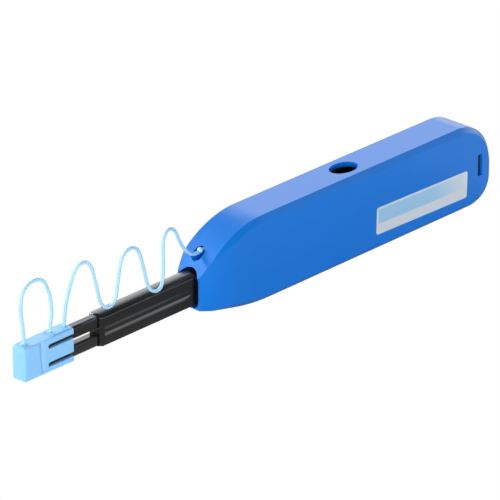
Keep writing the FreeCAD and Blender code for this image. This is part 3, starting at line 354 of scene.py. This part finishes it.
def tube(name, points, width, material):
    """A round moulded strap along the points, as a mesh."""
    curve, _ = new_curve(name, "POLY", points)
    curve.bevel_depth = width / 2
    curve.bevel_resolution = 5
    curve.use_fill_caps = True
    data = mesh_of_curve(curve)
    for polygon in data.polygons:
        polygon.use_smooth = True
    piece = bpy.data.objects.new(name, data)
    bpy.context.collection.objects.link(piece)
    data.materials.clear()
    data.materials.append(material)
    return piece


# ---------------------------------------------------------------- settings

class PenColours(bpy.types.PropertyGroup):
    """Colours of the pen's pieces"""
    case: bpy.props.FloatVectorProperty(
        name="Case", description="Blue of the case shells",
        subtype="COLOR", size=4, min=0.0, max=1.0, default=linear("#0070CE"))
    cap: bpy.props.FloatVectorProperty(
        name="Cap", description="Pale blue of the cap and lid",
        subtype="COLOR", size=4, min=0.0, max=1.0, default=linear("#86BFEE"))
    strap: bpy.props.FloatVectorProperty(
        name="Straps", description="Pale blue of the straps",
        subtype="COLOR", size=4, min=0.0, max=1.0, default=linear("#9CCBEE"))
    nozzle: bpy.props.FloatVectorProperty(
        name="Nozzle", description="Black of the sleeve and tips",
        subtype="COLOR", size=4, min=0.0, max=1.0, default=linear("#12110F"))
    label: bpy.props.FloatVectorProperty(
        name="Label", description="Silver of the label",
        subtype="COLOR", size=4, min=0.0, max=1.0, default=linear("#DDE4EA"))
    label_field: bpy.props.FloatVectorProperty(
        name="Label field", description="Pale blue printed field of the label",
        subtype="COLOR", size=4, min=0.0, max=1.0, default=linear("#A4D2F2"))
    frame_pieces: bpy.props.FloatVectorProperty(
        name="Frame pieces", description="Dark grey of the carriage, its cover and the anchor",
        subtype="COLOR", size=4, min=0.0, max=1.0, default=linear("#1B1C1E"))
    running_pieces: bpy.props.FloatVectorProperty(
        name="Running pieces", description="Off-white of the gear, rack, cores and clean reel",
        subtype="COLOR", size=4, min=0.0, max=1.0, default=linear("#D9D8D2"))
    take_up: bpy.props.FloatVectorProperty(
        name="Take-up reel", description="Black of the take-up reel",
        subtype="COLOR", size=4, min=0.0, max=1.0, default=linear("#101012"))
    wire: bpy.props.FloatVectorProperty(
        name="Wire", description="Grey of the springs and the brake washer",
        subtype="COLOR", size=4, min=0.0, max=1.0, default=linear("#A9A9AC"))
    thread: bpy.props.FloatVectorProperty(
        name="Thread", description="White of the cleaning threads",
        subtype="COLOR", size=4, min=0.0, max=1.0, default=linear("#EDEDE8"))


class PenSizes(bpy.types.PropertyGroup):
    """Sizes of the parts that Blender models"""
    strap_width: bpy.props.FloatProperty(
        name="Strap width", description="Diameter of the moulded straps", default=1.15 * MM,
        unit="LENGTH")
    edge: bpy.props.FloatProperty(
        name="Edge softness", description="Radius of the moulded edges in view", default=0.22 * MM,
        unit="LENGTH")
    inner_edge: bpy.props.FloatProperty(
        name="Inner edge softness", description="Radius of the moulded edges inside the case",
        default=0.1 * MM, unit="LENGTH")


class PenStage(bpy.types.PropertyGroup):
    """Camera and light settings"""
    camera_place: bpy.props.FloatVectorProperty(
        name="Camera place", description="Where the camera stands", subtype="TRANSLATION", size=3,
        unit="LENGTH", default=(-1.13191, -1.02464, 0.70220))
    azimuth: bpy.props.FloatProperty(
        name="Azimuth", description="Turn of the camera about the vertical",
        default=math.radians(-46.526), subtype="ANGLE")
    elevation: bpy.props.FloatProperty(
        name="Elevation", description="Height angle of the camera",
        default=math.radians(24.755), subtype="ANGLE")
    roll: bpy.props.FloatProperty(
        name="Roll", description="Turn of the camera about its line of sight",
        default=math.radians(-0.073), subtype="ANGLE")
    focal_length: bpy.props.FloatProperty(
        name="Focal length", description="Lens for a 36 mm sensor", default=362.5, unit="CAMERA")
    key_power: bpy.props.FloatProperty(
        name="Key power", description="Power of the key light", default=7.5, unit="POWER")
    rear_power: bpy.props.FloatProperty(
        name="Rear power", description="Power of the panel behind the pen", default=25.0,
        unit="POWER")
    back_glow: bpy.props.FloatProperty(
        name="Back glow", description="Strength of the low light behind", default=2.0)
    front_glow: bpy.props.FloatProperty(
        name="Front glow", description="Strength of the low light in front", default=2.7)
    ceiling: bpy.props.FloatProperty(
        name="Ceiling", description="Share of the low light that the ceiling gives", default=0.05,
        subtype="FACTOR", min=0.0, max=1.0)
    table_grey: bpy.props.FloatVectorProperty(
        name="Table grey", description="Grey that the table reflects on the pen", subtype="COLOR",
        size=4, min=0.0, max=1.0, default=linear("#C4C4C4"))


# ---------------------------------------------------------------- operators

class PEN_OT_camera(bpy.types.Operator):
    """Place the camera"""
    bl_idname = "pen.camera"
    bl_label = "Camera"

    def execute(self, context):
        settings = context.scene.pen_stage
        data = bpy.data.cameras.new("camera")
        data.lens = settings.focal_length
        data.sensor_width = 36.0
        data.clip_start = 0.05
        camera = bpy.data.objects.new("camera", data)
        context.collection.objects.link(camera)
        camera.location = settings.camera_place
        turn = Matrix.Rotation(settings.azimuth, 3, "Z")
        tilt = Matrix.Rotation(math.pi / 2 - settings.elevation, 3, "X")
        roll = Matrix.Rotation(settings.roll, 3, "Z")
        camera.rotation_euler = (turn @ tilt @ roll).to_euler()
        context.scene.camera = camera
        context.scene.render.resolution_x = RENDER_SIZE
        context.scene.render.resolution_y = RENDER_SIZE
        return {"FINISHED"}


class PEN_OT_straps(bpy.types.Operator):
    """Model the long tether, parted in two at its first dip, and the short lid strap"""
    bl_idname = "pen.straps"
    bl_label = "Straps"

    def execute(self, context):
        colours, width = context.scene.pen_colours, context.scene.pen_sizes.strap_width
        # Moulded elastomer: smooth, pale and softly matt.
        strap = moulded_plastic(
            "moulded_elastomer", colours.strap, roughness=0.45, grain=0.5 * MM, depth=0.0)
        line = strap_line("tether_line", TETHER_ROUTE)
        dip = min(
            (point for point in line if FIRST_DIP[0] < point.x < FIRST_DIP[1]),
            key=lambda point: point.z)
        split = line.index(dip)
        front, rear = line[:split + 1], line[split:]
        front_tube = tube("tether_front", front, width, strap)
        rear_tube = tube("tether_rear", rear, width, strap)
        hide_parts("tether")
        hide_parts("tether")
        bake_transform(rear_tube)
        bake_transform(front_tube)
        lid_line = strap_line("lid_strap_line", LID_STRAP_ROUTE)
        lid_tube = tube("lid_strap_tube", lid_line, width, strap)
        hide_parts("lid_strap")
        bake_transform(lid_tube)
        finished_copy("tether_toggle", "case", strap)
        return {"FINISHED"}


class PEN_OT_case(bpy.types.Operator):
    """Finish the two case shells and the label"""
    bl_idname = "pen.case"
    bl_label = "Case"

    def execute(self, context):
        colours = context.scene.pen_colours
        # Injection-moulded ABS: satin blue with a fine even grain that spreads the highlights.
        case = moulded_plastic(
            "moulded_blue_abs", colours.case, roughness=0.3, grain=0.35 * MM, depth=0.008 * MM)
        for node in ("case_shell_left", "case_shell_right"):
            finished_copy(node, "case", case)
        low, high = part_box("label_plate")
        label = foil_label("printed_silver_foil", colours.label, colours.label_field, low, high)
        repaint("label_plate", label)
        return {"FINISHED"}


class PEN_OT_nozzle(bpy.types.Operator):
    """Finish the sleeve and the two tips"""
    bl_idname = "pen.nozzle"
    bl_label = "Nozzle"

    def execute(self, context):
        colours, edge = context.scene.pen_colours, context.scene.pen_sizes.edge
        # Moulded nylon: near black and fairly glossy, with softened edges.
        black = moulded_plastic(
            "moulded_black_nylon", colours.nozzle, roughness=0.2, grain=0.3 * MM,
            depth=0.006 * MM, edge=edge, index=1.6)
        finished_copy("nozzle_sleeve", "carriage", black)
        # Nylon from a polished mould: the same black, and the tips' flat tops shine more.
        polished = moulded_plastic(
            "polished_black_nylon", colours.nozzle, roughness=0.14, grain=0.3 * MM,
            depth=0.004 * MM, edge=edge, index=1.7)
        for node in ("tip_shroud_upper", "tip_shroud_lower"):
            finished_copy(node, "carriage", polished)
        return {"FINISHED"}


class PEN_OT_cap(bpy.types.Operator):
    """Finish the guide cap and its lid"""
    bl_idname = "pen.cap"
    bl_label = "Cap"

    def execute(self, context):
        colours, edge = context.scene.pen_colours, context.scene.pen_sizes.edge
        # Moulded polypropylene: pale blue and slightly milky, smooth with rounded edges.
        pale = moulded_plastic(
            "moulded_pale_polypropylene", colours.cap, roughness=0.36, grain=0.5 * MM,
            depth=0.01 * MM, edge=edge, subsurface=0.3)
        finished_copy("guide_cap", "guide_cap", pale)
        finished_copy("cap_lid", "cap_lid", pale)
        return {"FINISHED"}


class PEN_OT_works(bpy.types.Operator):
    """Finish the reels, gear, springs and threads inside the case"""
    bl_idname = "pen.works"
    bl_label = "Works"

    def execute(self, context):
        colours, edge = context.scene.pen_colours, context.scene.pen_sizes.inner_edge
        # Moulded dark ABS for the frame pieces: matt, so the inside reads dark through the window.
        dark = moulded_plastic(
            "moulded_dark_abs", colours.frame_pieces, roughness=0.5, grain=0.4 * MM,
            depth=0.012 * MM, edge=edge)
        # Moulded acetal for the running pieces: off-white and waxy.
        acetal = moulded_plastic(
            "moulded_acetal", colours.running_pieces, roughness=0.4, grain=0.5 * MM,
            depth=0.008 * MM, edge=edge, subsurface=0.1)
        # Drawn spring wire: bright with fine streaks.
        wire = drawn_wire("drawn_spring_steel", colours.wire)
        # Twisted microfibre: white, matt and soft.
        thread = woven_thread("twisted_microfibre", colours.thread)
        # Moulded black acetal for the take-up reel, which shows through the window: satin.
        black = moulded_plastic(
            "moulded_black_acetal", colours.take_up, roughness=0.42, grain=0.4 * MM,
            depth=0.01 * MM, edge=edge)
        for node in ("carriage", "carriage_cover", "rear_anchor"):
            repaint(node, dark)
        repaint("take_up_reel", black)
        for node in ("supply_reel", "drive_gear", "feed_rack", "tip_core_upper", "tip_core_lower"):
            repaint(node, acetal)
        for node in ("take_up_winding_upper", "take_up_winding_lower", "supply_winding_upper",
                     "supply_winding_lower"):
            repaint(node, thread)
        repaint("brake_washer", wire)
        spring = finished_copy("return_spring", "case", wire)
        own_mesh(spring)
        for name in ("upper", "lower"):
            tip_spring = finished_copy(f"tip_spring_{name}", "carriage", wire)
            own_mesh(tip_spring)
            line = finished_copy(f"thread_{name}", None, thread)
            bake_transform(line)
        return {"FINISHED"}


class PEN_OT_stage(bpy.types.Operator):
    """Set the white table, the lights and the render"""
    bl_idname = "pen.stage"
    bl_label = "Stage"

    def execute(self, context):
        settings, scene = context.scene.pen_stage, context.scene
        table = bmesh.new()
        bmesh.ops.create_grid(table, x_segments=1, y_segments=1, size=TABLE_HALF_WIDTH)
        bmesh.ops.translate(table, verts=table.verts, vec=(0, 0, TABLE_TOP))
        data = bpy.data.meshes.new("table")
        table.to_mesh(data)
        table.free()
        floor = bpy.data.objects.new("table", data)
        context.collection.objects.link(floor)
        # Paper sweep: plain white to the camera, and a matt grey to everything it lights.
        paper, tree = new_material("white_paper_sweep")
        path = add_node(tree, "ShaderNodeLightPath")
        bounce = add_node(tree, "ShaderNodeBsdfDiffuse", {"Color": settings.table_grey})
        glow = add_node(tree, "ShaderNodeEmission", {"Color": (1, 1, 1, 1), "Strength": 1.0})
        mixed = add_node(tree, "ShaderNodeMixShader", {
            0: path.outputs["Is Camera Ray"], 1: bounce.outputs["BSDF"],
            2: glow.outputs["Emission"]})
        close_material(tree, mixed.outputs["Shader"])
        data.materials.append(paper)

        world = bpy.data.worlds.new("studio")
        world.use_nodes = True
        tree = world.node_tree
        tree.nodes.clear()
        # A low sweep of light in front of the pen, a higher one behind it and a dim ceiling.
        path = add_node(tree, "ShaderNodeLightPath")
        sky = add_node(tree, "ShaderNodeTexCoord")
        way = add_node(tree, "ShaderNodeSeparateXYZ", {"Vector": sky.outputs["Generated"]})
        behind = add_node(tree, "ShaderNodeVectorMath", {
            0: sky.outputs["Generated"], 1: BACK_WAY}, operation="DOT_PRODUCT")
        side = add_node(tree, "ShaderNodeMapRange", {
            "Value": behind.outputs["Value"], "From Min": BACK_FADE[0], "From Max": BACK_FADE[1]},
            interpolation_type="SMOOTHSTEP")
        sweeps = []
        for glow, (low, high) in (
                (settings.front_glow, FRONT_HEIGHTS), (settings.back_glow, BACK_HEIGHTS)):
            sweeps.append(add_node(tree, "ShaderNodeMapRange", {
                "Value": way.outputs["Z"], "From Min": math.sin(math.radians(low)),
                "From Max": math.sin(math.radians(high)),
                "To Min": glow, "To Max": glow * settings.ceiling},
                interpolation_type="SMOOTHSTEP"))
        strength = add_node(tree, "ShaderNodeMix", {
            0: side.outputs["Result"], 2: sweeps[0].outputs["Result"],
            3: sweeps[1].outputs["Result"]})
        fill = add_node(tree, "ShaderNodeBackground", {
            "Color": SKY_TINT, "Strength": strength.outputs[0]})
        white = add_node(tree, "ShaderNodeBackground", {"Color": (1, 1, 1, 1), "Strength": 1.0})
        mixed = add_node(tree, "ShaderNodeMixShader", {
            0: path.outputs["Is Camera Ray"], 1: fill.outputs["Background"],
            2: white.outputs["Background"]})
        add_node(tree, "ShaderNodeOutputWorld", {"Surface": mixed.outputs["Shader"]})
        scene.world = world

        self.lamp("key", settings.key_power, place=(-1.0, -0.6, 0.16), size=(0.6, 0.3))
        self.lamp("rear_panel", settings.rear_power, place=(-0.15, 1.2, 0.5), size=(0.9, 0.4))
        scene.render.engine = "CYCLES"
        scene.cycles.samples = RENDER_SAMPLES
        scene.cycles.use_denoising = True
        scene.view_settings.view_transform = "Standard"
        return {"FINISHED"}

    @staticmethod
    def lamp(name, power, place, size):
        """A soft rectangular lamp that points at the middle of the pen."""
        data = bpy.data.lights.new(name, "AREA")
        data.shape = "RECTANGLE"
        data.size, data.size_y = size
        data.energy = power
        lamp = bpy.data.objects.new(name, data)
        bpy.context.collection.objects.link(lamp)
        lamp.location = place
        aim = Vector(LAMP_AIM) - Vector(place)
        lamp.rotation_euler = aim.to_track_quat("-Z", "Y").to_euler()


class PEN_PT_panel(bpy.types.Panel):
    """Buttons and settings for the cleaning pen"""
    bl_label = "Cleaning Pen"
    bl_idname = "PEN_PT_panel"
    bl_space_type = "VIEW_3D"
    bl_region_type = "UI"
    bl_category = "Cleaning Pen"

    def draw(self, context):
        for group in (context.scene.pen_colours, context.scene.pen_sizes, context.scene.pen_stage):
            box = self.layout.box()
            for name in group.__annotations__:
                box.prop(group, name)
        for operator in OPERATORS:
            self.layout.operator(operator.bl_idname)


OPERATORS = (
    PEN_OT_camera, PEN_OT_straps, PEN_OT_case, PEN_OT_nozzle, PEN_OT_cap, PEN_OT_works,
    PEN_OT_stage)
GROUPS = {"pen_colours": PenColours, "pen_sizes": PenSizes, "pen_stage": PenStage}


def register():
    for group in GROUPS.values():
        bpy.utils.register_class(group)
    for name, group in GROUPS.items():
        setattr(bpy.types.Scene, name, bpy.props.PointerProperty(type=group))
    for kind in (*OPERATORS, PEN_PT_panel):
        bpy.utils.register_class(kind)


def unregister():
    for kind in (PEN_PT_panel, *reversed(OPERATORS)):
        bpy.utils.unregister_class(kind)
    for name in GROUPS:
        delattr(bpy.types.Scene, name)
    for group in GROUPS.values():
        bpy.utils.unregister_class(group)


def main():
    register()
    bpy.ops.pen.camera()
    bpy.ops.pen.straps()
    bpy.ops.pen.case()
    bpy.ops.pen.nozzle()
    bpy.ops.pen.cap()
    bpy.ops.pen.works()
    bpy.ops.pen.stage()


if __name__ == "__main__":
    main()
